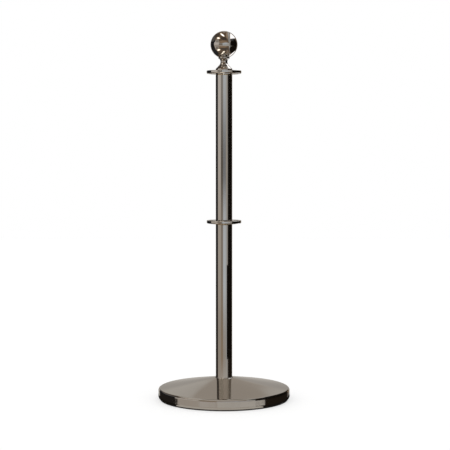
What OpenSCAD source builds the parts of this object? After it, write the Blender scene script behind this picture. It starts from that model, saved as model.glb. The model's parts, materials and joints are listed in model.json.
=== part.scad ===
// Rope barrier stanchion: ball finial, two swivelling rope rings, two-piece tube, weighted base.
// Millimetres. +Z is up, and the origin is on the floor, on the post's axis.

/* [Post] */
// Height from the floor to the top of the ball
post_h = 1000; // [950:1:1050]
// Outside diameter of the tube
tube_d = 45; // [44.5:0.1:45.5]
// Wall thickness of the tube
tube_wall = 1.2; // [1:0.1:1.5]
// Height of the middle rope ring's upper face
middle_ring_z = 489.2; // [300:0.1:700]

/* [Finial] */
// Height of the ball's top above the top rope ring's upper face
finial_h = 106.3; // [105.5:0.1:107]
// Diameter of the ball
ball_d = 73; // [72:0.1:74]
// Wall thickness of the hollow ball
ball_wall = 1.5; // [1:0.1:2]
// Diameter of the collar that the ball sits on
collar_d = 30.8; // [30:0.1:32]
// Height of the collar's straight band, with its rounded edges
collar_h = 4.8; // [4.2:0.1:5]
// Diameter of the neck at its narrowest
throat_d = 18.8; // [17:0.1:20]
// Height of the narrowest place above the top ring
throat_rise = 23.9; // [23.5:0.1:24.5]
// Number of turns that frees the finial
finial_turns = 10; // [8:1:11]

/* [Rope rings] */
// Outside diameter of a ring
ring_d = 94; // [92:0.5:96]
// Thickness of a ring at its rim
rim_h = 8.2; // [7:0.1:9.5]
// How far the hub reaches below the rim
hub_drop = 2.4; // [1.5:0.1:3]
// Radius of the rim's upper edge
rim_top_edge_r = 1.2; // [0.5:0.1:2]
// Radius of the rim's lower edge
rim_low_edge_r = 2.6; // [1.5:0.1:3.5]
// Number of hook slots in a ring
slot_count = 4; // [4:1:4]
// Distance from the axis to a slot's inner side
slot_in_r = 29; // [28.5:0.1:29.5]
// Distance from the axis to a slot's outer side
slot_out_r = 40; // [39.5:0.1:40.5]
// Angle between the centres of a slot's round ends
slot_sweep = 44; // [40:1:50]

/* [Base] */
// Diameter of the base
base_d = 359; // [357:0.5:363]
// Height of the skirt's straight side above the floor
skirt_z = 25.5; // [24:0.5:27]
// Radius of the rounded rim between skirt and cone
base_edge_r = 6; // [5:0.1:7]
// Radius of the skirt's turned-in foot
hem_r = 7; // [6:0.5:7.5]
// Slope of the cone
cone_angle = 10.5; // [10:0.1:11]
// Thickness of the cover's sheet
cover_wall = 1.2; // [1:0.1:1.4]
// Diameter of the iron weight
weight_d = 336; // [334:0.5:337]
// Thickness of the iron weight's plate
plate_h = 11; // [10:0.5:16]
// Number of ribs on the weight
rib_count = 6; // [4:1:8]

/* [Hidden] */
$fn = 96;
arc_steps = 8;
over = 1;

tube_r = tube_d / 2;
tube_in_r = tube_r - tube_wall;
base_r = base_d / 2;
ring_r = ring_d / 2;
top_ring_z = post_h - finial_h;

// Running gap between a stud and its tapped bore, and between a ring and its bush
run_gap = 0.05;
// Gap left under and over a ring so that it turns freely
float_low = 0.1;
float_high = 0.3;

// M10 stud, drawn at its thread's outer diameter
stud_r = 4.95;
stud_bore_r = stud_r + run_gap;
thread_pitch = 1.5;
finial_lift = finial_turns * thread_pitch;

// Boss of a plug, bush round it, ring round the bush
boss_r = 13.5;
bush_in_r = boss_r + run_gap;
bush_out_r = 15.5;
ring_bore_r = bush_out_r + run_gap;
flange_r = tube_r - 0.5;
flange_h = 0.8;
spacer_h = 0.6;
ring_h = rim_h + hub_drop;
plug_r = tube_in_r - run_gap;
plug_h = 24;

// Drop from a ring's upper face to the end of the tube under it
ring_seat = ring_h + float_low + flange_h;
upper_tube_top = top_ring_z - ring_seat;
lower_tube_top = middle_ring_z - ring_seat;
upper_tube_foot = middle_ring_z + float_high + spacer_h;
neck_foot = top_ring_z + float_high + spacer_h;

// Finial
ball_r = ball_d / 2;
ball_z = post_h - ball_r;
collar_r = collar_d / 2;
throat_r = throat_d / 2;
throat_z = top_ring_z + throat_rise;
collar_top = ball_z - sqrt(ball_r * ball_r - collar_r * collar_r);
collar_foot = collar_top - collar_h;
collar_edge_r = 2;
seat_gap = 0.05;
insert_r = 12;
insert_top = ball_z - ball_r + 17;
stud_top = insert_top - 3;
stud_foot = top_ring_z + float_high - finial_lift - 4;

// Weight, cover and what holds them together
foot_rest_z = 3;
trim_h = 2.6;
hem_in_r = base_r - hem_r - 1;
cover_lip_r = tube_r + 0.3;
lip_h = 2;
tube_foot = 40;
weight_r = weight_d / 2;
hub_r = 32;
hub_top = tube_foot + 6;
recess_r = 26;
recess_top = 20;
bolt_r = 5.95;
bolt_hole_r = 6.75;
bolt_head_h = 7.5;
bolt_flats = 18;
washer_h = 3;
bolt_seat = recess_top - 2 * washer_h;
bolt_length = 56;
foot_plug_h = 40;
rib_w = 8;
rib_end_r = 158;
rib_clear = 1.5;

// Where the cone leaves the rounded rim, and its height at any radius
cone_start_r = base_r - base_edge_r + base_edge_r * sin(cone_angle);
cone_start_z = skirt_z + base_edge_r * cos(cone_angle);
function cone_z(r) = cone_start_z + (cone_start_r - r) * tan(cone_angle);
function cone_under_z(r) = cone_z(r) - cover_wall / cos(cone_angle);

// Points on an arc about c, from angle a to angle b
function arc(c, r, a, b) =
    [for (i = [0 : arc_steps]) c + r * [cos(a + (b - a) * i / arc_steps), sin(a + (b - a) * i / arc_steps)]];

// ---- Shapes used more than once ----

// A plain ring with a square section
module collar_ring(r_in, r_out, z, h) {
    translate([0, 0, z]) difference() {
        cylinder(r = r_out, h = h);
        translate([0, 0, -over]) cylinder(r = r_in, h = h + 2 * over);
    }
}

// A curved slot with round ends, centred on +X, cut right through
module hook_slot() {
    mid_r = (slot_in_r + slot_out_r) / 2;
    end_r = (slot_out_r - slot_in_r) / 2;
    cut_h = ring_h + 2 * over;
    rotate([0, 0, -slot_sweep / 2])
        rotate_extrude(angle = slot_sweep)
            translate([slot_in_r, 0]) square([slot_out_r - slot_in_r, cut_h]);
    for (side = [-1, 1])
        rotate([0, 0, side * slot_sweep / 2])
            translate([mid_r, 0, 0]) cylinder(r = end_r, h = cut_h);
}

// Rope ring with its upper face at height z: round-edged rim, underside falling to a hub
module rope_ring(z) {
    section = concat(
        [[ring_bore_r, -ring_h], [tube_r + 2, -ring_h]],
        arc([ring_r - rim_low_edge_r, rim_low_edge_r - rim_h], rim_low_edge_r, -85, 0),
        arc([ring_r - rim_top_edge_r, -rim_top_edge_r], rim_top_edge_r, 0, 90),
        [[ring_bore_r, 0]]);
    translate([0, 0, z]) difference() {
        rotate_extrude() polygon(section);
        for (i = [0 : slot_count - 1])
            rotate([0, 0, i * 360 / slot_count])
                translate([0, 0, -ring_h - over]) hook_slot();
    }
}

// Flanged bush on a plug's boss; the flange lies on the end of the tube
module ring_bush(ring_z) {
    seat = ring_z - ring_seat;
    translate([0, 0, seat]) difference() {
        union() {
            cylinder(r = flange_r, h = flange_h);
            cylinder(r = bush_out_r, h = ring_seat + float_high);
        }
        translate([0, 0, -over]) cylinder(r = bush_in_r, h = ring_seat + float_high + 2 * over);
    }
}

// Plug in the end of a tube, with a boss through the ring and a tapped bore right through
module ring_plug(ring_z) {
    seat = ring_z - ring_seat;
    boss_top = ring_z + float_high;
    chamfer = 1;
    section = [
        [stud_bore_r, seat - plug_h], [plug_r - chamfer, seat - plug_h],
        [plug_r, seat - plug_h + chamfer], [plug_r, seat],
        [boss_r, seat], [boss_r, boss_top], [stud_bore_r, boss_top]];
    rotate_extrude() polygon(section);
}

// Plug with a tapped bore of radius bore_r, from height z up to z + h
module tapped_plug(bore_r, z, h) {
    collar_ring(bore_r, plug_r, z, h);
}

// ---- Finial ----

module finial_ball() {
    color([0.62, 0.58, 0.54]) translate([0, 0, ball_z]) difference() {
        sphere(r = ball_r);
        sphere(r = ball_r - ball_wall);
        translate([0, 0, -ball_r - over]) cylinder(r = stud_bore_r + 1, h = ball_wall + 2 * over + 1);
    }
}

module ball_insert() {
    color([0.55, 0.55, 0.55]) difference() {
        intersection() {
            translate([0, 0, ball_z - ball_r]) cylinder(r = insert_r, h = insert_top - ball_z + ball_r);
            translate([0, 0, ball_z]) sphere(r = ball_r - ball_wall - seat_gap);
        }
        translate([0, 0, ball_z - ball_r]) cylinder(r = stud_bore_r, h = ball_r);
    }
}

// Hourglass: a concave arc and a steep cone below the throat, a concave arc above it, and a dished seat for the ball
module finial_neck() {
    flare_r = 14;
    flare_lean = 44.5;
    flare_c = [throat_r + flare_r, throat_z];
    flare_side = tube_r - throat_r - flare_r * (1 - cos(flare_lean));
    flare_foot = throat_z - flare_r * sin(flare_lean) - flare_side / tan(flare_lean);
    cove_end = 53;
    cove_r = (collar_foot - throat_z) / sin(cove_end);
    cove_c = [throat_r + cove_r, throat_z];
    edge_c = collar_r - collar_edge_r;
    section = concat(
        [[stud_bore_r, neck_foot], [tube_r, neck_foot], [tube_r, flare_foot]],
        arc(flare_c, flare_r, 180 + flare_lean, 180),
        arc(cove_c, cove_r, 180, 180 - cove_end),
        arc([edge_c, collar_foot + collar_edge_r], collar_edge_r, -60, 0),
        arc([edge_c, collar_top - collar_edge_r], collar_edge_r, 0, 60),
        [[stud_bore_r, collar_top]]);
    color([0.6, 0.56, 0.52]) difference() {
        rotate_extrude() polygon(section);
        translate([0, 0, ball_z]) sphere(r = ball_r + seat_gap);
    }
}

module finial_stud() {
    color([0.7, 0.7, 0.7]) translate([0, 0, stud_foot]) cylinder(r = stud_r, h = stud_top - stud_foot);
}

module finial_washer() {
    color([0.12, 0.12, 0.12]) collar_ring(stud_bore_r + 0.3, flange_r, top_ring_z + float_high, spacer_h);
}

// ---- Top rope ring ----

module top_ring() {
    color([0.45, 0.44, 0.43]) rope_ring(top_ring_z);
}

module top_ring_bush() {
    color([0.75, 0.6, 0.3]) ring_bush(top_ring_z);
}

module top_plug() {
    color([0.5, 0.5, 0.52]) ring_plug(top_ring_z);
}

// ---- Tube ----

module upper_tube() {
    color([0.55, 0.53, 0.5]) collar_ring(tube_in_r, tube_r, upper_tube_foot, upper_tube_top - upper_tube_foot);
}

module upper_tube_insert() {
    color([0.5, 0.5, 0.52]) tapped_plug(stud_bore_r, upper_tube_foot, plug_h);
}

module joiner_stud() {
    grip = 18;
    color([0.7, 0.7, 0.7])
        translate([0, 0, middle_ring_z - grip]) cylinder(r = stud_r, h = 2 * grip);
}

module middle_ring_washer() {
    color([0.12, 0.12, 0.12]) collar_ring(stud_bore_r + 0.3, flange_r, middle_ring_z + float_high, spacer_h);
}

module middle_ring() {
    color([0.45, 0.44, 0.43]) rope_ring(middle_ring_z);
}

module middle_ring_bush() {
    color([0.75, 0.6, 0.3]) ring_bush(middle_ring_z);
}

module middle_plug() {
    color([0.5, 0.5, 0.52]) ring_plug(middle_ring_z);
}

module lower_tube() {
    color([0.55, 0.53, 0.5]) collar_ring(tube_in_r, tube_r, tube_foot, lower_tube_top - tube_foot);
}

module foot_plug() {
    color([0.5, 0.5, 0.52]) tapped_plug(bolt_r + run_gap, tube_foot, foot_plug_h);
}

// ---- Base ----

// Spun cover: turned-in foot, skirt, rounded rim, low cone and a lip that stands up round the tube
module base_cover() {
    hem_c = [base_r - hem_r, trim_h + hem_r];
    edge_c = [base_r - base_edge_r, skirt_z];
    lip_out_r = cover_lip_r + cover_wall;
    fillet = 1.5;
    fillet_c = [lip_out_r + fillet, cone_z(lip_out_r + fillet) + fillet / cos(cone_angle)];
    lip_top = fillet_c[1] + lip_h - fillet;
    section = concat(
        [[hem_in_r, trim_h]],
        arc(hem_c, hem_r, -90, 0),
        arc(edge_c, base_edge_r, 0, 90 - cone_angle),
        arc(fillet_c, fillet, 270 - cone_angle, 180),
        [[lip_out_r, lip_top - 0.4], [lip_out_r - 0.4, lip_top]],
        [[cover_lip_r, lip_top], [cover_lip_r, cone_under_z(cover_lip_r)]],
        arc(edge_c, base_edge_r - cover_wall, 90 - cone_angle, 0),
        arc(hem_c, hem_r - cover_wall, 0, -90),
        [[hem_in_r, trim_h + cover_wall]]);
    color([0.58, 0.56, 0.53]) rotate_extrude($fn = 180) polygon(section);
}

// Cast disc with a hub that centres the tube, a recess for the bolt's head, and radial ribs
module iron_weight() {
    draft = 1.5;
    section = [
        [recess_r, foot_rest_z], [weight_r, foot_rest_z], [weight_r - draft, foot_rest_z + plate_h],
        [hub_r + draft, foot_rest_z + plate_h], [hub_r, hub_top], [tube_r + 0.1, hub_top],
        [tube_r + 0.1, tube_foot], [bolt_hole_r, tube_foot], [bolt_hole_r, recess_top],
        [recess_r - draft, recess_top]];
    rib_in_r = hub_r - 2;
    rib = [
        [rib_in_r, foot_rest_z + plate_h - over], [rib_end_r, foot_rest_z + plate_h - over],
        [rib_end_r, cone_under_z(rib_end_r) - rib_clear - 6],
        [rib_end_r - 8, cone_under_z(rib_end_r - 8) - rib_clear],
        [hub_r + 16, cone_under_z(hub_r + 16) - rib_clear], [rib_in_r, hub_top - 1]];
    color([0.2, 0.2, 0.21]) union() {
        rotate_extrude() polygon(section);
        for (i = [0 : rib_count - 1])
            rotate([0, 0, i * 360 / rib_count])
                translate([0, rib_w / 2, 0]) rotate([90, 0, 0]) linear_extrude(rib_w) polygon(rib);
    }
}

// Rubber ring: the weight rests on its inner ledge, the cover's turned-in foot on its outer one
module foot_ring() {
    ledge_r = weight_r - 8;
    trim_r = base_r - hem_r + 2;
    upstand_h = 12;
    section = [
        [ledge_r, 0], [trim_r - 0.7, 0], [trim_r, 0.7], [trim_r, trim_h],
        [hem_in_r - 0.2, trim_h], [hem_in_r - 0.2, upstand_h], [weight_r + 0.2, upstand_h],
        [weight_r + 0.2, foot_rest_z], [ledge_r, foot_rest_z]];
    color([0.07, 0.07, 0.07]) rotate_extrude($fn = 180) polygon(section);
}

module centre_bolt() {
    color([0.7, 0.7, 0.7]) union() {
        translate([0, 0, bolt_seat - bolt_head_h])
            cylinder(r = bolt_flats / 2 / cos(30), h = bolt_head_h, $fn = 6);
        translate([0, 0, bolt_seat - over]) cylinder(r = bolt_r, h = bolt_length + over);
    }
}

module flat_washer() {
    color([0.72, 0.72, 0.72]) collar_ring(6.5, 20, recess_top - washer_h, washer_h);
}

// Split ring of a square section
module spring_washer() {
    split = 12;
    color([0.45, 0.45, 0.45]) translate([0, 0, bolt_seat])
        rotate_extrude(angle = 360 - split) translate([6.2, 0]) square([4.3, washer_h]);
}

finial_ball();
ball_insert();
finial_neck();
finial_stud();
finial_washer();
top_ring();
top_ring_bush();
top_plug();
upper_tube();
upper_tube_insert();
joiner_stud();
middle_ring_washer();
middle_ring();
middle_ring_bush();
middle_plug();
lower_tube();
foot_plug();
base_cover();
iron_weight();
foot_ring();
centre_bolt();
flat_washer();
spring_washer();
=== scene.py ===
import json
import math

import bmesh
import bpy
from mathutils import Matrix, Vector


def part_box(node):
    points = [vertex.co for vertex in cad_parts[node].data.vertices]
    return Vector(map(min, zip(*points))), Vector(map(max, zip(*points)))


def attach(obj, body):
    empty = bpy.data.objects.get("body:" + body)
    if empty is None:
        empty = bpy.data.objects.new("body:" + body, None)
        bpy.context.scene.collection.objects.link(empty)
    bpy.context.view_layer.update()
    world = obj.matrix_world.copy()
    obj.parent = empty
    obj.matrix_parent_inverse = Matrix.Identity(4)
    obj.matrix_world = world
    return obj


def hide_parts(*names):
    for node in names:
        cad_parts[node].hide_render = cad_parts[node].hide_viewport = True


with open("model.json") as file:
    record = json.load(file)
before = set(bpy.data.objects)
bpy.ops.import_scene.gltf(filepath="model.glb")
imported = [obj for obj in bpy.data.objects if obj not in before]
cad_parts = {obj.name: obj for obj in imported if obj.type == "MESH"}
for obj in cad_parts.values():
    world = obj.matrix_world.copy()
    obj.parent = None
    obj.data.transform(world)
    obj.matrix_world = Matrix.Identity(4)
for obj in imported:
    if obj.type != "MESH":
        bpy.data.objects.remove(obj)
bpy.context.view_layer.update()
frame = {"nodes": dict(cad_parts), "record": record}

MM = 0.001
TURN = 2 * math.pi
QUARTER = math.pi / 2


# ---------------------------------------------------------------- outlines

# From the end of a rounded edge to the extra point that keeps the straight face beside it shaded flat
LEAD = 0.4 * MM


def polar(r, angle, z):
    return (r * math.cos(angle), r * math.sin(angle), z)


def between(first, last, shares):
    """Values from first to last, one for each share of the way."""
    return [first + (last - first) * share for share in shares]


def arc(centre, radius, start, end, steps):
    """Points on an arc in the (r, z) plane, from angle start to angle end in degrees."""
    points = []
    for i in range(steps + 1):
        a = math.radians(start + (end - start) * i / steps)
        points.append((centre[0] + radius * math.cos(a), centre[1] + radius * math.sin(a)))
    return points


def rounded(corners):
    """A closed outline of (r, z) points from corners (r, z, fillet radius).

    Each fillet gets a point just outside both ends, so that the long faces beside it shade flat."""
    lead = 0.5 * MM
    steps = 3
    points = []
    count = len(corners)
    for i, (r, z, radius) in enumerate(corners):
        here = Vector((r, z))
        if radius == 0:
            points.append((r, z))
            continue
        before = Vector(corners[i - 1][:2]) - here
        after = Vector(corners[(i + 1) % count][:2]) - here
        half = before.angle(after) / 2
        tangent = radius / math.tan(half)
        middle = (before.normalized() + after.normalized()).normalized()
        centre = here + middle * (radius / math.sin(half))
        first = here + before.normalized() * tangent
        last = here + after.normalized() * tangent
        if before.length > tangent + 2 * lead:
            points.append(tuple(first + before.normalized() * lead))
        start = first - centre
        sweep = start.angle_signed(last - centre)
        for s in range(steps + 1):
            turned = start.copy()
            turned.rotate(Matrix.Rotation(-sweep * s / steps, 2))
            points.append(tuple(centre + turned))
        if after.length > tangent + 2 * lead:
            points.append(tuple(last + after.normalized() * lead))
    return points


# ---------------------------------------------------------------- meshes

TOUCHING = 1e-7
SHARP = math.radians(38)


def lathed(outline, segments=192):
    """A closed outline of (r, z) points turned about Z, as a bmesh."""
    bm = bmesh.new()
    loops = []
    for r, z in outline:
        if r < TOUCHING:
            loops.append([bm.verts.new((0, 0, z))] * segments)
        else:
            loops.append([bm.verts.new(polar(r, TURN * s / segments, z)) for s in range(segments)])
    for low, high in zip(loops, loops[1:] + loops[:1]):
        for s in range(segments):
            t = (s + 1) % segments
            corners = list(dict.fromkeys((low[s], low[t], high[t], high[s])))
            if len(corners) > 2:
                bm.faces.new(corners)
    return bm


def stitched(bm, columns, closed):
    """Quads between neighbouring columns of points, each column a chain or a closed loop."""
    made = [[bm.verts.new(point) for point in column] for column in columns]
    for left, right in zip(made, made[1:]):
        last = len(left) if closed else len(left) - 1
        for i in range(last):
            j = (i + 1) % len(left)
            bm.faces.new((left[i], left[j], right[j], right[i]))


def placed(name, bm):
    """An object of a bmesh, in the scene."""
    mesh = bpy.data.meshes.new(name)
    bm.to_mesh(mesh)
    bm.free()
    made = bpy.data.objects.new(name, mesh)
    bpy.context.scene.collection.objects.link(made)
    return made


# ---------------------------------------------------------------- shader nodes

# A Mix node's colour sockets: others of its sockets have the same names
MIX_FIRST, MIX_SECOND, MIX_RESULT = 6, 7, 2


def node(tree, kind, inputs=None, **settings):
    """Adds a shader node; an input that is a socket is linked, and any other is set."""
    made = tree.nodes.new(kind)
    for key, value in settings.items():
        setattr(made, key, value)
    for key, value in (inputs or {}).items():
        if isinstance(value, bpy.types.NodeSocket):
            tree.links.new(value, made.inputs[key])
        else:
            made.inputs[key].default_value = value
    return made


def maths(tree, operation, *values):
    return node(tree, "ShaderNodeMath", dict(enumerate(values)), operation=operation).outputs[0]


def plus(tree, first, second):
    return maths(tree, "ADD", first, second)


def times(tree, first, second):
    return maths(tree, "MULTIPLY", first, second)


def vector_maths(tree, operation, *values):
    return node(tree, "ShaderNodeVectorMath", dict(enumerate(values)), operation=operation).outputs


def spread(tree, value, low, high, out_low, out_high):
    """value mapped smoothly from low..high to out_low..out_high."""
    inputs = {"Value": value, "From Min": low, "From Max": high, "To Min": out_low, "To Max": out_high}
    return node(tree, "ShaderNodeMapRange", inputs, interpolation_type="SMOOTHSTEP").outputs[0]


def inside(tree, value, low, high, soft):
    """1 where value is between low and high, and 0 outside, over soft edges."""
    return times(tree, spread(tree, value, low - soft, low + soft, 0.0, 1.0),
                 spread(tree, value, high - soft, high + soft, 1.0, 0.0))


def noise(tree, vector, scale, detail=3.0, roughness=0.55):
    inputs = {"Vector": vector, "Scale": scale, "Detail": detail, "Roughness": roughness}
    return node(tree, "ShaderNodeTexNoise", inputs).outputs["Fac"]


def blended(tree, share, first, second):
    """A colour between two, by share; each is a socket or (red, green, blue)."""
    inputs = {"Factor": share}
    for key, colour in ((MIX_FIRST, first), (MIX_SECOND, second)):
        inputs[key] = colour if isinstance(colour, bpy.types.NodeSocket) else (*colour, 1)
    return node(tree, "ShaderNodeMix", inputs, data_type="RGBA").outputs[MIX_RESULT]


# ---------------------------------------------------------------- materials

# How far the polishing lines' pattern goes on for each metre along a tube, and for each radian round a turned
# piece, in metres
ALONG_TUBE = 0.012
ROUND_TURN = 0.0006


def new_material(name):
    material = bpy.data.materials.new(name)
    material.use_nodes = True
    tree = material.node_tree
    shader = tree.nodes["Principled BSDF"]
    place = node(tree, "ShaderNodeTexCoord").outputs["Object"]
    return material, tree, shader, place


def dress(tree, shader, colour, rough, height, strength, depth):
    """Gives a shader its colour and roughness, and a bump from a height, its depth in metres."""
    bump = node(tree, "ShaderNodeBump", {"Height": height, "Strength": strength, "Distance": depth})
    tree.links.new(colour, shader.inputs["Base Color"])
    tree.links.new(rough, shader.inputs["Roughness"])
    tree.links.new(bump.outputs[0], shader.inputs["Normal"])


def grain_space(tree, place, direction):
    """Coordinates that change quickly across the polishing lines and hardly along them."""
    if direction == "along":
        return node(tree, "ShaderNodeMapping", {"Vector": place, "Scale": (1.0, 1.0, ALONG_TUBE)}).outputs[0]
    x, y, z = node(tree, "ShaderNodeSeparateXYZ", {"Vector": place}).outputs
    radius = maths(tree, "SQRT", plus(tree, times(tree, x, x), times(tree, y, y)))
    angle = times(tree, maths(tree, "ARCTAN2", y, x), ROUND_TURN)
    return node(tree, "ShaderNodeCombineXYZ", {"X": radius, "Y": angle, "Z": z}).outputs[0]


def steel(name, light, dark, gloss, grain, direction, groove):
    """Polished or satin steel: polishing lines, faint smears, hairline scratches and handling marks.

    gloss is (lowest, highest) roughness, grain the lines' share of it, groove the bump's depth in metres."""
    material, tree, shader, place = new_material(name)
    lines = noise(tree, grain_space(tree, place, direction), scale=2600.0, detail=4.0, roughness=0.65)
    smears = noise(tree, place, scale=22.0, detail=5.0, roughness=0.6)
    clouds = noise(tree, place, scale=5.0, detail=2.0, roughness=0.5)
    drawn_out = {"Vector": place, "Rotation": (0.5, 0.7, 0.4), "Scale": (1.0, 0.03, 0.2)}
    scratch_at = node(tree, "ShaderNodeMapping", drawn_out).outputs[0]
    scratches = noise(tree, scratch_at, scale=900.0, detail=2.0, roughness=0.4)
    scratches = spread(tree, scratches, 0.69, 0.75, 0.0, 1.0)
    smeared = times(tree, spread(tree, smears, 0.35, 0.75, 0.0, 1.0), 1 - grain)
    wear = plus(tree, smeared, times(tree, lines, grain))
    rough = plus(tree, spread(tree, wear, 0.1, 0.9, *gloss), times(tree, scratches, 0.05))
    colour = blended(tree, spread(tree, clouds, 0.3, 0.7, 0.0, 1.0), light, dark)
    height = plus(tree, lines, times(tree, scratches, -0.5))
    dress(tree, shader, colour, rough, height, strength=1.0, depth=groove)
    shader.inputs["Metallic"].default_value = 1.0
    return material


def turned_metal(name, light, dark, rough):
    """Machined, plated or drawn metal inside the post."""
    return steel(name, light, dark, gloss=(rough, rough + 0.16), grain=0.6, direction="round", groove=0.00002)


def cast_iron(name):
    """Sand-cast iron under black paint: a pebbled, swelling skin, with rust where the paint is thin."""
    material, tree, shader, place = new_material(name)
    pebbles = noise(tree, place, scale=420.0, detail=6.0, roughness=0.7)
    swells = noise(tree, place, scale=38.0, detail=3.0, roughness=0.5)
    rust = spread(tree, noise(tree, place, scale=16.0, detail=7.0, roughness=0.72), 0.62, 0.74, 0.0, 0.8)
    paint = blended(tree, pebbles, (0.012, 0.012, 0.013), (0.035, 0.035, 0.037))
    colour = blended(tree, rust, paint, (0.085, 0.03, 0.012))
    rough = spread(tree, pebbles, 0.3, 0.7, 0.5, 0.8)
    height = plus(tree, pebbles, times(tree, swells, 1.5))
    dress(tree, shader, colour, rough, height, strength=0.8, depth=0.0006)
    return material


def rubber(name):
    """Moulded rubber: matt, faintly mottled, with scuffed dust on it."""
    material, tree, shader, place = new_material(name)
    mottle = noise(tree, place, scale=90.0, detail=5.0, roughness=0.6)
    dust = spread(tree, noise(tree, place, scale=30.0, detail=6.0, roughness=0.7), 0.5, 0.75, 0.0, 0.35)
    clean = blended(tree, mottle, (0.014, 0.014, 0.014), (0.026, 0.025, 0.024))
    colour = blended(tree, dust, clean, (0.07, 0.065, 0.06))
    rough = spread(tree, mottle, 0.3, 0.7, 0.55, 0.8)
    height = noise(tree, place, scale=700.0, detail=3.0, roughness=0.6)
    dress(tree, shader, colour, rough, height, strength=0.5, depth=0.0002)
    return material


def nylon(name):
    """Black nylon with fine moulding texture."""
    material, tree, shader, place = new_material(name)
    fine = noise(tree, place, scale=900.0, detail=3.0, roughness=0.5)
    colour = blended(tree, noise(tree, place, scale=60.0), (0.02, 0.02, 0.021), (0.034, 0.034, 0.036))
    rough = spread(tree, fine, 0.3, 0.7, 0.42, 0.6)
    dress(tree, shader, colour, rough, fine, strength=0.3, depth=0.0001)
    return material


def outer_steel(name, gloss, grain, direction="round", groove=0.000001):
    """The dark polished steel of everything that shows."""
    return steel(name, (0.66, 0.635, 0.605), (0.61, 0.585, 0.555), gloss, grain, direction, groove)


# The record's material slots and what each is finished with
FINISH = {
    "polished_steel": outer_steel("polished_steel", gloss=(0.02, 0.05), grain=0.3, groove=0.0000004),
    "satin_ring": outer_steel("ring_steel", gloss=(0.04, 0.1), grain=0.6),
    "satin_tube": outer_steel("tube_steel", gloss=(0.03, 0.09), grain=0.7, direction="along"),
    "base_steel": outer_steel("base_steel", gloss=(0.04, 0.11), grain=0.6),
    "turned_steel": turned_metal("turned_steel", (0.56, 0.56, 0.57), (0.46, 0.46, 0.47), rough=0.22),
    "zinc_steel": turned_metal("zinc_steel", (0.66, 0.67, 0.68), (0.56, 0.56, 0.55), rough=0.28),
    "spring_steel": turned_metal("spring_steel", (0.1, 0.1, 0.11), (0.06, 0.06, 0.065), rough=0.35),
    "brass_bush": turned_metal("bush_brass", (0.74, 0.55, 0.26), (0.66, 0.47, 0.2), rough=0.2),
    "nylon": nylon("nylon"),
    "cast_iron": cast_iron("cast_iron"),
    "rubber": rubber("foot_rubber"),
}
for part in frame["record"]["subparts"]:
    shown = frame["nodes"][part["node"]]
    shown.data.materials.clear()
    shown.data.materials.append(FINISH[part["material_slot"]])


# ---------------------------------------------------------------- finished pieces

def finished(name, bm, body, slot_name, *nodes):
    """Turns a bmesh into a shaded piece that rides on a body and stands for CAD nodes."""
    bmesh.ops.remove_doubles(bm, verts=bm.verts, dist=TOUCHING)
    bmesh.ops.recalc_face_normals(bm, faces=bm.faces)
    for face in bm.faces:
        face.smooth = True
    for edge in bm.edges:
        if len(edge.link_faces) == 2 and edge.calc_face_angle(0) > SHARP:
            edge.smooth = False
    piece = placed(name, bm)
    piece.data.materials.append(FINISH[slot_name])
    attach(piece, body)
    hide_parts(*nodes)


# ---------------------------------------------------------------- rope rings

RING_BORE = 15.55 * MM
BORE_EDGE = 0.5 * MM
HUB_R = 24.5 * MM
HUB_DROP = 2.4 * MM
RIM_TOP_EDGE = 1.2 * MM
RIM_LOW_EDGE = 2.6 * MM
RIM_LOW_END = -84
SLOTS = 4
SLOT_MIDDLE = 34.5 * MM
SLOT_HALF = 5.5 * MM
SLOT_END = math.radians(22)
SLOT_EDGE = 0.7 * MM
# Steps along half a slot's wall, round its end, on to halfway to the next slot, and over an edge
WALL_STEPS = 16
END_STEPS = 12
GAP_STEPS = 10
EDGE_STEPS = 4


def slot_outline(half_width, side, step):
    """Polar place (r, angle) on a slot's outline: side 1 is its outer wall, -1 its inner one.

    Steps run along the wall from the slot's middle and then round the end to its tip."""
    if step <= WALL_STEPS:
        return SLOT_MIDDLE + side * half_width, SLOT_END * step / WALL_STEPS
    turn = QUARTER * (step - WALL_STEPS) / END_STEPS
    out = SLOT_MIDDLE + side * half_width * math.cos(turn)
    across = half_width * math.sin(turn)
    return math.hypot(out, across), SLOT_END + math.atan2(across, out)


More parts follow.
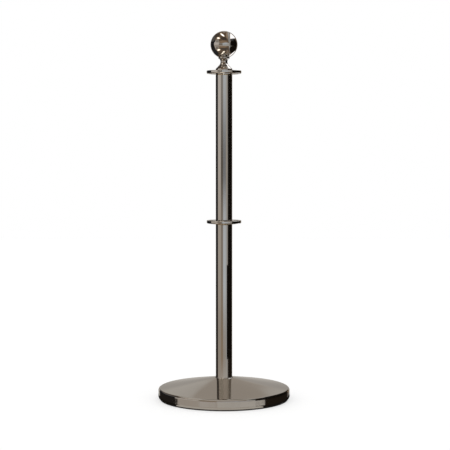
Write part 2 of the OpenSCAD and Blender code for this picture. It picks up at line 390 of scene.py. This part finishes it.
def rope_ring(name, node_name, body):
    """A slotted disc with a rounded rim, an underside that falls to its hub, and eased slot edges."""
    low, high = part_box(node_name)
    top, bottom, rim = high.z, low.z, high.x
    rim_bottom = bottom + HUB_DROP
    half_pitch = math.pi / SLOTS
    tip = WALL_STEPS + END_STEPS

    def under(r):
        share = (r - HUB_R) / (rim - RIM_LOW_EDGE - HUB_R)
        return bottom + HUB_DROP * min(max(share, 0), 1)

    def slot_wall(side, step):
        """From the underside, round its edge, up the wall and round the upper edge."""
        chain = []
        for i in range(EDGE_STEPS + 1):
            lean = QUARTER * (1 - i / EDGE_STEPS)
            r, angle = slot_outline(SLOT_HALF + SLOT_EDGE * (1 - math.cos(lean)), side, step)
            chain.append((r, angle, under(r) + SLOT_EDGE * (1 - math.sin(lean))))
        for i, (r, angle, _) in enumerate(chain[::-1]):
            lean = QUARTER * i / EDGE_STEPS
            chain.append((r, angle, top - SLOT_EDGE * (1 - math.sin(lean))))
        return chain

    def outer_chain(start, angle):
        """Over the top from start to the rim, round it, and back along the underside."""
        flat = rim - RIM_TOP_EDGE
        low_centre = (rim - RIM_LOW_EDGE, rim_bottom + RIM_LOW_EDGE)
        points = [(r, top) for r in between(start, flat, (0, 0.08, 0.5, 0.92))]
        points += arc((flat, top - RIM_TOP_EDGE), RIM_TOP_EDGE, 90, 0, 6)
        points += [(rim, top - RIM_TOP_EDGE - LEAD), (rim, rim_bottom + RIM_LOW_EDGE + LEAD)]
        points += arc(low_centre, RIM_LOW_EDGE, 0, RIM_LOW_END, 8)
        points += [(r, under(r)) for r in between(points[-1][0], start, (0.08, 0.5, 0.92, 1))]
        return [polar(r, angle, z) for r, z in points]

    def inner_chain(start, angle):
        """Over the top from start to the bore, down the bore, and back under the hub."""
        edge = RING_BORE + BORE_EDGE
        hub_end = HUB_R + LEAD
        points = [(r, top) for r in between(start, edge, (0, 0.1, 0.5, 0.95, 1))]
        points += [(RING_BORE, top - BORE_EDGE), (RING_BORE, bottom + BORE_EDGE), (edge, bottom)]
        points += [(HUB_R - LEAD, bottom), (hub_end, under(hub_end))]
        points += [(r, under(r)) for r in between(hub_end, start, (0.5, 0.9, 1))]
        return [polar(r, angle, z) for r, z in points]

    bm = bmesh.new()
    for quarter in range(SLOTS):
        turn = TURN * quarter / SLOTS
        for mirror in (1, -1):
            for side, chain in ((1, outer_chain), (-1, inner_chain)):
                # the ring's section beside the slot, with the slot's wall, and then on across the gap
                slot_columns = []
                for step in range(tip + 1):
                    wall = slot_wall(side, step)
                    edge_r, angle = wall[-1][:2]
                    around = chain(edge_r, turn + mirror * angle)
                    slot_columns.append(around + [polar(r, turn + mirror * a, z) for r, a, z in wall[1:-1]])
                stitched(bm, slot_columns, True)
                gap_columns = []
                for step in range(GAP_STEPS + 1):
                    on = angle + (half_pitch - angle) * step / GAP_STEPS
                    gap_columns.append(chain(edge_r, turn + mirror * on))
                stitched(bm, gap_columns, False)
    finished(name, bm, body, "satin_ring", node_name)


# ---------------------------------------------------------------- pieces

def finial_ball():
    """Hollow polished ball with a hole for the stud at its foot."""
    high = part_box("finial_ball")[1]
    radius = high.x
    centre = (0, high.z - radius)
    wall = 1.5 * MM
    hole = 6 * MM
    foot = -90 + math.degrees(math.asin(hole / radius))
    inner_foot = -90 + math.degrees(math.asin(hole / (radius - wall)))
    outline = arc(centre, radius, foot, 90, 96)
    outline += arc(centre, radius - wall, 90, inner_foot, 48)
    finished("ball", lathed(outline), "finial", "polished_steel", "finial_ball")


def finial_neck():
    """Hourglass neck: flared foot, narrow throat, cove and a round-edged collar dished for the ball."""
    low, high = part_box("finial_neck")
    ball_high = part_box("finial_ball")[1]
    foot_r, foot_z = high.x, low.z
    foot_ease = 0.5 * MM
    foot_middle = foot_z + 1.2 * MM
    ball_r = ball_high.x
    ball_z = ball_high.z - ball_r
    bore = 5 * MM
    throat_r = 9.4 * MM
    throat_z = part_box("top_ring")[1].z + 23.9 * MM
    collar_r = 15.4 * MM
    collar_h = 4.8 * MM
    collar_edge = 2 * MM
    collar_top = ball_z - math.sqrt(ball_r ** 2 - collar_r ** 2)
    collar_foot = collar_top - collar_h
    edge = collar_r - collar_edge

    # the flare is an arc from the throat and a cone on to the foot's side, where a cut softens the corner
    flare = 14 * MM
    flare_lean = 44.5
    cut = 0.15 * MM
    lean = math.radians(flare_lean)
    cone_width = foot_r - throat_r - flare * (1 - math.cos(lean))
    flare_foot = throat_z - flare * math.sin(lean) - cone_width / math.tan(lean)

    # the cove is an arc from the throat up to the collar
    cove_end = 53
    cove = (collar_foot - throat_z) / math.sin(math.radians(cove_end))

    # the dish lies just clear of the ball, and starts halfway round the collar's upper edge
    dish = ball_r + 0.05 * MM
    dish_edge = -math.degrees(math.acos((edge + collar_edge / 2) / dish))
    dish_bore = -90 + math.degrees(math.asin(bore / dish))

    outline = [(bore, foot_z), (foot_r - foot_ease - LEAD, foot_z)]
    outline += arc((foot_r - foot_ease, foot_z + foot_ease), foot_ease, -90, 0, 4)
    outline += [(foot_r, foot_middle), (foot_r, flare_foot - 2 * cut), (foot_r - cut, flare_foot + cut)]
    outline += arc((throat_r + flare, throat_z), flare, 180 + flare_lean, 180, 40)
    outline += arc((throat_r + cove, throat_z), cove, 180, 180 - cove_end, 24)[1:]
    outline += arc((edge, collar_foot + collar_edge), collar_edge, -60, 0, 8)
    outline += arc((edge, collar_top - collar_edge), collar_edge, 0, 58, 8)
    outline += arc((0, ball_z), dish, dish_edge, dish_bore, 12)
    finished("neck", lathed(outline, segments=128), "finial", "polished_steel", "finial_neck")


def tube(name, node_name):
    """Drawn round tube with a faintly eased edge at both ends."""
    low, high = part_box(node_name)
    inner = high.x - 1.2 * MM
    ease = 0.3 * MM
    inner_ease = 0.1 * MM
    outline = rounded([(inner, low.z, inner_ease), (high.x, low.z, ease),
                       (high.x, high.z, ease), (inner, high.z, inner_ease)])
    finished(name, lathed(outline), "post", "satin_tube", node_name)


def base_cover():
    """Spun cover: turned-in foot, skirt, rounded rim, low cone and a lip round the tube."""
    low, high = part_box("base_cover")
    wall = 1.2 * MM
    hem = 7 * MM
    hem_flat = 1 * MM
    rim = 6 * MM
    skirt_z = 25.5 * MM
    skirt_lead = 1 * MM
    fillet = 1.5 * MM
    lip_ease = 0.5 * MM
    lip_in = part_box("lower_tube")[1].x + 0.3 * MM
    lip_out = lip_in + wall
    cone_angle = 10.5
    cone = math.radians(cone_angle)
    hem_in = high.x - hem - hem_flat
    hem_lead = 0.2 * MM
    hem_centre = (high.x - hem, low.z + hem)
    rim_centre = (high.x - rim, skirt_z)
    cone_foot_r = rim_centre[0] + rim * math.sin(cone)
    cone_foot_z = rim_centre[1] + rim * math.cos(cone)

    def cone_z(r, below=0.0):
        return cone_foot_z + (cone_foot_r - r) * math.tan(cone) - below / math.cos(cone)

    def along_cone(r_from, r_to, below=0.0):
        """Points along the cone's face, close together near both ends so that it shades flat."""
        return [(r, cone_z(r, below)) for r in between(r_from, r_to, (0.01, 0.1, 0.5, 0.9, 0.99))]

    fillet_centre = (lip_out + fillet, cone_z(lip_out + fillet, -fillet))
    outline = [(hem_in, low.z), (hem_centre[0] - hem_lead, low.z)]
    outline += arc(hem_centre, hem, -90, 0, 12)
    outline += [(high.x, hem_centre[1] + skirt_lead), (high.x, skirt_z - skirt_lead)]
    outline += arc(rim_centre, rim, 0, 90 - cone_angle, 14)
    outline += along_cone(cone_foot_r, fillet_centre[0])
    outline += arc(fillet_centre, fillet, 270 - cone_angle, 180, 8)
    outline += arc((lip_out - lip_ease, high.z - lip_ease), lip_ease, 0, 90, 4)
    outline += [(lip_in, high.z), (lip_in, cone_z(lip_in, wall))]
    outline += along_cone(lip_in, cone_foot_r, wall)
    outline += arc(rim_centre, rim - wall, 90 - cone_angle, 0, 8)
    outline += arc(hem_centre, hem - wall, 0, -90, 8)
    outline += [(hem_in, low.z + wall)]
    finished("cover", lathed(outline, segments=256), "post", "base_steel", "base_cover")


def foot_ring():
    """Rubber ring under the cover, with a soft outer edge and two grooves in its sole."""
    low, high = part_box("foot_ring")
    weight_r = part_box("iron_weight")[1].x
    trim_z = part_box("base_cover")[0].z
    ledge_z = 3 * MM
    ledge_in = weight_r - 8 * MM
    upstand_in = weight_r + 0.2 * MM
    upstand_out = high.x - 3.2 * MM
    groove = 1 * MM
    edge = 0.7 * MM
    top_edge = 0.6 * MM
    ledge_edge = 0.5 * MM
    trim_edge = 0.3 * MM
    groove_edge = 0.2 * MM
    corners = [(ledge_in, low.z, edge)]
    for middle in between(ledge_in, high.x, (1 / 3, 2 / 3)):
        corners += [(middle - groove, low.z, groove_edge), (middle - groove / 2, low.z + groove, groove_edge),
                    (middle + groove / 2, low.z + groove, groove_edge), (middle + groove, low.z, groove_edge)]
    corners += [(high.x, low.z, edge), (high.x, trim_z, trim_edge), (upstand_out, trim_z, 0)]
    corners += [(upstand_out, high.z, top_edge), (upstand_in, high.z, top_edge), (upstand_in, ledge_z, 0)]
    corners += [(ledge_in, ledge_z, ledge_edge)]
    finished("foot_trim", lathed(rounded(corners), segments=256), "post", "rubber", "foot_ring")


def threaded_stud(name, node_name, body):
    """Stud with a rolled right-hand thread over its whole length and a chamfer at both ends."""
    low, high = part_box(node_name)
    pitch = 1.5 * MM
    depth = 0.8 * MM
    chamfer = 1.2 * MM
    steepness = 1.25
    around = 48
    rows_per_turn = 12
    rows = round((high.z - low.z) / pitch * rows_per_turn)
    bm = bmesh.new()
    loops = []
    for row in range(rows + 1):
        z = low.z + (high.z - low.z) * row / rows
        crest = high.x - max(0, chamfer - min(z - low.z, high.z - z))
        loop = []
        for s in range(around):
            phase = ((z - low.z) / pitch - s / around) % 1
            flank = max(0, 1 - abs(2 * phase - 1) * steepness)
            r = min(crest, high.x - depth * flank)
            loop.append(bm.verts.new(polar(r, TURN * s / around, z)))
        loops.append(loop)
    for lower, upper in zip(loops, loops[1:]):
        for s in range(around):
            t = (s + 1) % around
            bm.faces.new((lower[s], lower[t], upper[t], upper[s]))
    bm.faces.new(loops[0][::-1])
    bm.faces.new(loops[-1])
    finished(name, bm, body, "zinc_steel", node_name)


finial_ball()
finial_neck()
threaded_stud("stud", "finial_stud", "finial")
rope_ring("upper_rope_ring", "top_ring", "top_ring")
rope_ring("lower_rope_ring", "middle_ring", "middle_ring")
tube("tube_upper", "upper_tube")
tube("tube_lower", "lower_tube")
base_cover()
foot_ring()


# ---------------------------------------------------------------- the mirrored room

# The share of the light that the steel sends back
STEEL_MEAN = 0.62


def room(r, g, b):
    """The linear light that the steel shows as this screen colour: white is 255, and a lamp is more."""
    light = []
    for part in (r, g, b):
        share = part / 255
        light.append((((share + 0.055) / 1.055) ** 2.4 if share > 0.04 else share / 12.92) / STEEL_MEAN)
    return tuple(light)


# The room that the steel mirrors is BACKGROUND, and over it PATCHES, PANELS, WINDOWS and LAMPS in that order.
# All its colours are screen colours, as the steel shows them.
BACKGROUND = (88, 74, 61)

# PANELS are upright rectangles of the room. Each has the side that its azimuths are measured from (front is
# the camera's side, back the far one, positive to the right), azimuths from and to, heights above the horizon
# from and to, how soft its edges are across and up, all in degrees, and its tones.
# Tones are (height, colour) stops from low to high, or one stop for a plain colour.
DARK = [(-9.5, (27, 24, 22)), (-6.0, (22, 22, 24))]
BLACK = [(-9.5, (25, 20, 15)), (-6.0, (12, 9, 6))]
LEFT_WALL = [(-10.4, (140, 133, 125)), (-9.2, (131, 123, 114)), (-4.0, (149, 142, 134)),
             (1.5, (166, 161, 156))]
STRIPE = [(-10.4, (147, 142, 136)), (-9.2, (121, 106, 90)), (-4.0, (119, 111, 103)), (-1.0, (80, 75, 69)),
          (2.7, (119, 115, 110))]
AHEAD = [(-10.4, (153, 149, 143)), (-9.2, (131, 125, 118)), (-5.8, (161, 167, 172)),
         (-3.7, (163, 168, 173)), (-1.0, (103, 105, 108)), (2.8, (159, 164, 168))]
RIGHT_WALL = [(-10.4, (153, 149, 143)), (-9.2, (136, 135, 134)), (-4.0, (151, 152, 153)),
              (-1.4, (138, 132, 124)), (2.8, (152, 151, 148))]
GREY_STRIP = [(0.0, (129, 125, 120))]
LOW_WALL = [(0.0, (155, 151, 145))]
BACK_WALL = [(-8.0, (150, 146, 140)), (8.0, (134, 130, 125)), (12.0, (134, 130, 125)),
             (18.0, (146, 142, 136))]
BACK_DOOR = [(0.0, (131, 124, 116))]
TAN = [(0.0, (112, 97, 82))]
PANELS = [
    ("back", -27, 22, -14, 12, 2, 2, BACK_WALL),
    ("back", -12, 12, 10, 38, 2, 2, BACK_WALL),
    ("back", -5.6, 6.9, 16, 60, 0.5, 3, BACK_DOOR),
    ("front", -154, -94, -14, 14, 1.5, 2, DARK),
    ("front", -94, -44, -14, 14, 0.8, 2, LEFT_WALL),
    ("front", -100, -88, -11.9, -10.6, 0.8, 0.2, DARK),
    ("front", -44, -13, -14, 9, 3, 2, STRIPE),
    ("front", -13, 26, -14, 9, 3, 2, AHEAD),
    ("front", 26, 43, -14, 9, 3, 2, RIGHT_WALL),
    ("front", 43, 55, -14, 14, 2, 2, GREY_STRIP),
    ("front", 40, 76, -11.9, -10.6, 2, 0.2, LOW_WALL),
    ("front", 55, 147, -9.8, 14, 0.8, 1, BLACK),
    ("front", 76, 156, -14, -9.8, 0.8, 1, BLACK),
    ("front", 147, 158, -9.8, 14, 3, 2, TAN),
]

# A second reflection, which one steel surface shows of another, sees a plainer room between these heights in
# degrees: a background and panels of its own.
SECOND_HAND_BAND = (9, 34)
SECOND_HAND = (138, 131, 121)
SECOND_HAND_PANELS = [
    ("front", -165, -88, -90, 90, 3, 5, [(0.0, (58, 53, 48))]),
    ("front", -8, 48, -90, 90, 12, 5, [(0.0, (148, 140, 131))]),
    ("front", 78, 165, -90, 90, 8, 5, [(0.0, (100, 93, 85))]),
]

# PATCHES and LAMPS are ovals on the round picture that a mirror ball shows of the room to a viewer BALL_TILT
# degrees below it. Each has its centre across and up (from -1 to 1), half its width, half its height, its turn
# in degrees counterclockwise, how soft its edge is, and its colour.
BALL_TILT = 4.15
WINDOW = (266, 266, 268)
LAMP = (330, 322, 305)
GLOW = (196, 172, 146)
STRIP_LIGHT = (380, 368, 345)
PATCHES = [
    # shaded left side, with its lighter outer rim
    (-0.80, 0.02, 0.16, 0.62, 0, 0.05, (28, 29, 31)),
    (-0.62, -0.56, 0.34, 0.15, -48, 0.06, (34, 34, 36)),
    (-0.74, 0.46, 0.10, 0.26, -28, 0.07, (74, 72, 70)),
    (-0.50, 0.66, 0.13, 0.20, -48, 0.08, (62, 55, 48)),
    # left wall
    (-0.50, 0.00, 0.19, 0.40, 0, 0.04, (134, 129, 122)),
    (-0.63, 0.00, 0.05, 0.22, 0, 0.03, (171, 167, 161)),
    (-0.50, 0.24, 0.07, 0.09, 0, 0.05, (118, 114, 108)),
    (-0.52, -0.24, 0.09, 0.10, 0, 0.05, (112, 105, 97)),
    # far wall, brown with dark furniture
    (-0.05, 0.20, 0.30, 0.10, 0, 0.06, (119, 101, 83)),
    (-0.10, -0.14, 0.32, 0.08, 0, 0.05, (120, 102, 84)),
    (0.00, 0.44, 0.24, 0.10, -12, 0.06, (58, 51, 45)),
    (-0.10, -0.30, 0.16, 0.07, 0, 0.05, (70, 62, 55)),
    (0.14, -0.34, 0.18, 0.10, 0, 0.06, (68, 62, 57)),
    (0.26, -0.50, 0.07, 0.14, 20, 0.05, (112, 100, 88)),
    # open end of the room, its horizon and the grey upright at its right
    (0.14, 0.10, 0.20, 0.05, 0, 0.03, (160, 166, 172)),
    (0.17, -0.06, 0.18, 0.04, 0, 0.03, (137, 135, 132)),
    (-0.02, 0.01, 0.34, 0.018, 0, 0.02, (90, 88, 86)),
    (0.12, 0.01, 0.10, 0.016, 0, 0.02, (92, 96, 102)),
    (0.42, 0.00, 0.055, 0.50, 0, 0.03, (146, 146, 145)),
    (0.37, 0.34, 0.055, 0.30, 8, 0.03, (126, 126, 124)),
    (0.34, 0.76, 0.07, 0.22, 10, 0.05, (146, 146, 144)),
    (0.22, 0.66, 0.05, 0.24, 6, 0.04, (138, 122, 105)),
    # black upright and what is behind it
    (0.70, -0.06, 0.235, 0.52, 0, 0.03, (14, 11, 8)),
    (0.58, -0.44, 0.16, 0.30, 18, 0.04, (18, 14, 10)),
    (0.60, 0.36, 0.14, 0.06, 8, 0.04, (62, 64, 66)),
]
LAMPS = [
    (-0.12, 0.71, 0.15, 0.040, -36, 0.04, STRIP_LIGHT),
    (-0.41, 0.475, 0.12, 0.075, -6, 0.05, GLOW),
    (-0.41, 0.475, 0.085, 0.040, -6, 0.05, LAMP),
    (-0.39, -0.385, 0.12, 0.075, 14, 0.05, GLOW),
    (-0.39, -0.385, 0.085, 0.040, 14, 0.05, LAMP),
    (-0.09, -0.60, 0.15, 0.050, 38, 0.05, STRIP_LIGHT),
]

# WINDOWS are the parts of the same round picture beyond some straight lines, each an across and an up share
# and a distance from the middle. They stop short of its rim.
WINDOWS = [
    [(1.0, 0.0, 0.455), (-0.10, 0.995, 0.385)],
    [(0.63, -0.777, 0.868)],
]
WINDOW_RIM = 0.945
WINDOW_SOFT = 0.02


def toned(tree, height, stops):
    """One colour, or colours that change smoothly with height."""
    if len(stops) == 1:
        return room(*stops[0][1])
    low, span = stops[0][0], stops[-1][0] - stops[0][0]
    share = maths(tree, "DIVIDE", maths(tree, "SUBTRACT", height, low), span)
    ramp = node(tree, "ShaderNodeValToRGB", {"Fac": share})
    ramp.color_ramp.interpolation = "EASE"
    marks = ramp.color_ramp.elements
    while len(marks) < len(stops):
        marks.new(0.5)
    for mark, (at, colour) in zip(marks, stops):
        mark.position = (at - low) / span
        mark.color = (*room(*colour), 1)
    return ramp.outputs["Color"]


def with_patches(tree, picture, colour, patches):
    """Soft ovals of the mirror ball's picture over a colour."""
    for across, up, half_across, half_up, turn, soft, tone in patches:
        place = {"Vector": picture, "Location": (across, up, 0), "Rotation": (0, 0, math.radians(turn)),
                 "Scale": (half_across, half_up, 1)}
        local = node(tree, "ShaderNodeMapping", place, vector_type="TEXTURE").outputs[0]
        reach = vector_maths(tree, "LENGTH", local)["Value"]
        edge = soft / min(half_across, half_up)
        share = spread(tree, reach, 1 - edge / 2, 1 + edge / 2, 1.0, 0.0)
        colour = blended(tree, share, colour, room(*tone))
    return colour


def with_windows(tree, picture, colour):
    """The bright windows of the mirror ball's picture over a colour."""
    reach = vector_maths(tree, "LENGTH", picture)["Value"]
    within_rim = spread(tree, reach, WINDOW_RIM - WINDOW_SOFT, WINDOW_RIM + WINDOW_SOFT, 1.0, 0.0)
    for lines in WINDOWS:
        mask = within_rim
        for across, up, distance in lines:
            along = vector_maths(tree, "DOT_PRODUCT", picture, (across, up, 0))["Value"]
            beyond = spread(tree, along, distance - WINDOW_SOFT, distance + WINDOW_SOFT, 0.0, 1.0)
            mask = times(tree, mask, beyond)
        colour = blended(tree, mask, colour, room(*WINDOW))
    return colour


def with_panels(tree, way, colour, panels):
    """Upright panels of the room over a colour."""
    x, y, z = node(tree, "ShaderNodeSeparateXYZ", {"Vector": way}).outputs
    azimuth = {
        "front": maths(tree, "DEGREES", maths(tree, "ARCTAN2", x, times(tree, y, -1.0))),
        "back": maths(tree, "DEGREES", maths(tree, "ARCTAN2", x, y)),
    }
    height = maths(tree, "DEGREES", maths(tree, "ARCSINE", z))
    for side, az_from, az_to, low, high, across, up, stops in panels:
        mask = times(tree, inside(tree, azimuth[side], az_from, az_to, across),
                     inside(tree, height, low, high, up))
        colour = blended(tree, mask, colour, toned(tree, height, stops))
    return colour


def mirror_picture(tree, way):
    """Where each direction lands on the round picture: at the ball's normal halfway to the viewer."""
    tilt = math.radians(BALL_TILT)
    viewer = (0, -math.cos(tilt), -math.sin(tilt))
    upright = (0, -math.sin(tilt), math.cos(tilt))
    normal = vector_maths(tree, "NORMALIZE", vector_maths(tree, "ADD", way, viewer)[0])[0]
    up = vector_maths(tree, "DOT_PRODUCT", normal, upright)["Value"]
    across = node(tree, "ShaderNodeSeparateXYZ", {"Vector": normal}).outputs[0]
    return node(tree, "ShaderNodeCombineXYZ", {"X": across, "Y": up}).outputs[0]


# ---------------------------------------------------------------- studio

# Glossy Depth is below this in a first reflection, and above it in a reflection of a reflection
FIRST_REFLECTION = 1.5


def studio_light():
    """World: the mirrored room for what the steel reflects, and even white light for everything else."""
    world = bpy.data.worlds.new("studio")
    bpy.context.scene.world = world
    world.use_nodes = True
    tree = world.node_tree
    tree.nodes.clear()
    way = node(tree, "ShaderNodeTexCoord").outputs["Generated"]
    ray = node(tree, "ShaderNodeLightPath").outputs
    picture = mirror_picture(tree, way)
    colour = with_patches(tree, picture, room(*BACKGROUND), PATCHES)
    colour = with_panels(tree, way, colour, PANELS)
    colour = with_windows(tree, picture, colour)
    colour = with_patches(tree, picture, colour, LAMPS)

    low, high = (math.sin(math.radians(height)) for height in SECOND_HAND_BAND)
    rise = node(tree, "ShaderNodeSeparateXYZ", {"Vector": way}).outputs[2]
    in_band = times(tree, maths(tree, "GREATER_THAN", rise, low), maths(tree, "LESS_THAN", rise, high))
    passed_on = times(tree, maths(tree, "GREATER_THAN", ray["Glossy Depth"], FIRST_REFLECTION), in_band)
    plainer = with_panels(tree, way, room(*SECOND_HAND), SECOND_HAND_PANELS)
    colour = blended(tree, passed_on, colour, plainer)

    mirrored = node(tree, "ShaderNodeBackground", {"Color": colour, "Strength": 1.0}).outputs[0]
    even = node(tree, "ShaderNodeBackground", {"Color": (1, 1, 1, 1), "Strength": 1.0}).outputs[0]
    both = node(tree, "ShaderNodeMixShader", {"Fac": ray["Is Glossy Ray"], 1: even, 2: mirrored}).outputs[0]
    node(tree, "ShaderNodeOutputWorld", {"Surface": both})


def floor():
    """Plain pale floor, just below the rubber; the steel doesn't mirror it."""
    bm = bmesh.new()
    bmesh.ops.create_grid(bm, x_segments=8, y_segments=8, size=6.0)
    plane = placed("floor", bm)
    plane.location.z = -0.1 * MM
    material, tree, shader, place = new_material("pale_floor")
    tone = blended(tree, noise(tree, place, scale=4.0), (0.46, 0.46, 0.46), (0.43, 0.43, 0.43))
    tree.links.new(tone, shader.inputs["Base Color"])
    shader.inputs["Emission Color"].default_value = (1, 1, 1, 1)
    shader.inputs["Emission Strength"].default_value = 0.57
    shader.inputs["Roughness"].default_value = 0.9
    plane.data.materials.append(material)
    plane.visible_glossy = False


def card(name, bm, colour):
    """A studio card that only first reflections show, and only its front: all other rays pass it."""
    made = placed(name, bm)
    material = bpy.data.materials.new(name)
    material.use_nodes = True
    tree = material.node_tree
    tree.nodes.clear()
    depth = node(tree, "ShaderNodeLightPath").outputs["Glossy Depth"]
    behind = node(tree, "ShaderNodeNewGeometry").outputs["Backfacing"]
    first = maths(tree, "LESS_THAN", depth, FIRST_REFLECTION)
    seen = times(tree, first, maths(tree, "SUBTRACT", 1.0, behind))
    clear = node(tree, "ShaderNodeBsdfTransparent").outputs[0]
    plain = node(tree, "ShaderNodeEmission", {"Color": (*room(*colour), 1)}).outputs[0]
    both = node(tree, "ShaderNodeMixShader", {"Fac": seen, 1: clear, 2: plain}).outputs[0]
    node(tree, "ShaderNodeOutputMaterial", {"Surface": both})
    made.data.materials.append(material)
    made.visible_camera = False
    made.visible_diffuse = False
    made.visible_shadow = False
    made.visible_transmission = False


UP, DOWN, INWARD = 1, -1, 0


def bent(inner, outer, first, last, facing, forward=0.0):
    """A card between two (r, z) edges and two azimuths in degrees from the camera's side.

    It faces UP, DOWN or INWARD, and forward moves it towards the camera."""
    bm = bmesh.new()
    steps = 48
    columns = []
    for i in range(steps + 1):
        angle = math.radians(first + (last - first) * i / steps)
        columns.append([(r * math.sin(angle), -r * math.cos(angle) - forward, z) for r, z in (inner, outer)])
    stitched(bm, columns, False)
    bm.normal_update()
    for face in bm.faces:
        towards = Vector((0, 0, facing)) if facing else -face.calc_center_median()
        if face.normal.dot(towards) < 0:
            face.normal_flip()
    return bm


def cards():
    """Plain cards near the base, so that its rim and foot don't mirror the windows and lamps."""
    pale = (150, 145, 138)
    grey = (88, 82, 74)
    dark = (20, 17, 14)
    darkest = (13, 10, 7)
    base_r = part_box("base_cover")[1].x
    pinhole = 1 * MM

    floor_z = -0.05 * MM
    foot_in, foot_out = (base_r - 12 * MM, floor_z), (base_r + 30 * MM, floor_z)
    dark_from, dark_to = 37, 313
    card("floor_card", bent(foot_in, foot_out, dark_to - 360, dark_from, UP), pale)
    card("dark_floor_card", bent(foot_in, foot_out, dark_from, dark_to, UP), dark)

    roof_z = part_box("middle_ring")[0].z - 20 * MM
    lower_z = roof_z - 5 * MM
    card("roof_card", bent((pinhole, roof_z), (0.55, roof_z), 0, 360, DOWN, forward=0.2), pale)
    card("dark_roof_card", bent((pinhole, lower_z), (base_r, lower_z), 0, 360, DOWN), grey)

    side_r = base_r + 100 * MM
    card("side_card", bent((side_r, 0.07), (side_r, 0.345), 38, 125, INWARD), darkest)


def camera():
    """Eye level between the two rings, seen from the front."""
    aside, distance, height = 0.0027, 3.617, 0.7012
    pitch = 3.556
    data = bpy.data.cameras.new("camera")
    data.sensor_width = 36
    data.lens = 106.66
    eye = bpy.data.objects.new("camera", data)
    bpy.context.scene.collection.objects.link(eye)
    eye.location = (aside, -distance, height)
    eye.rotation_euler = (math.radians(90 - pitch), 0, 0)
    bpy.context.scene.camera = eye


studio_light()
floor()
cards()
camera()
bpy.context.scene.view_settings.view_transform = "Standard"
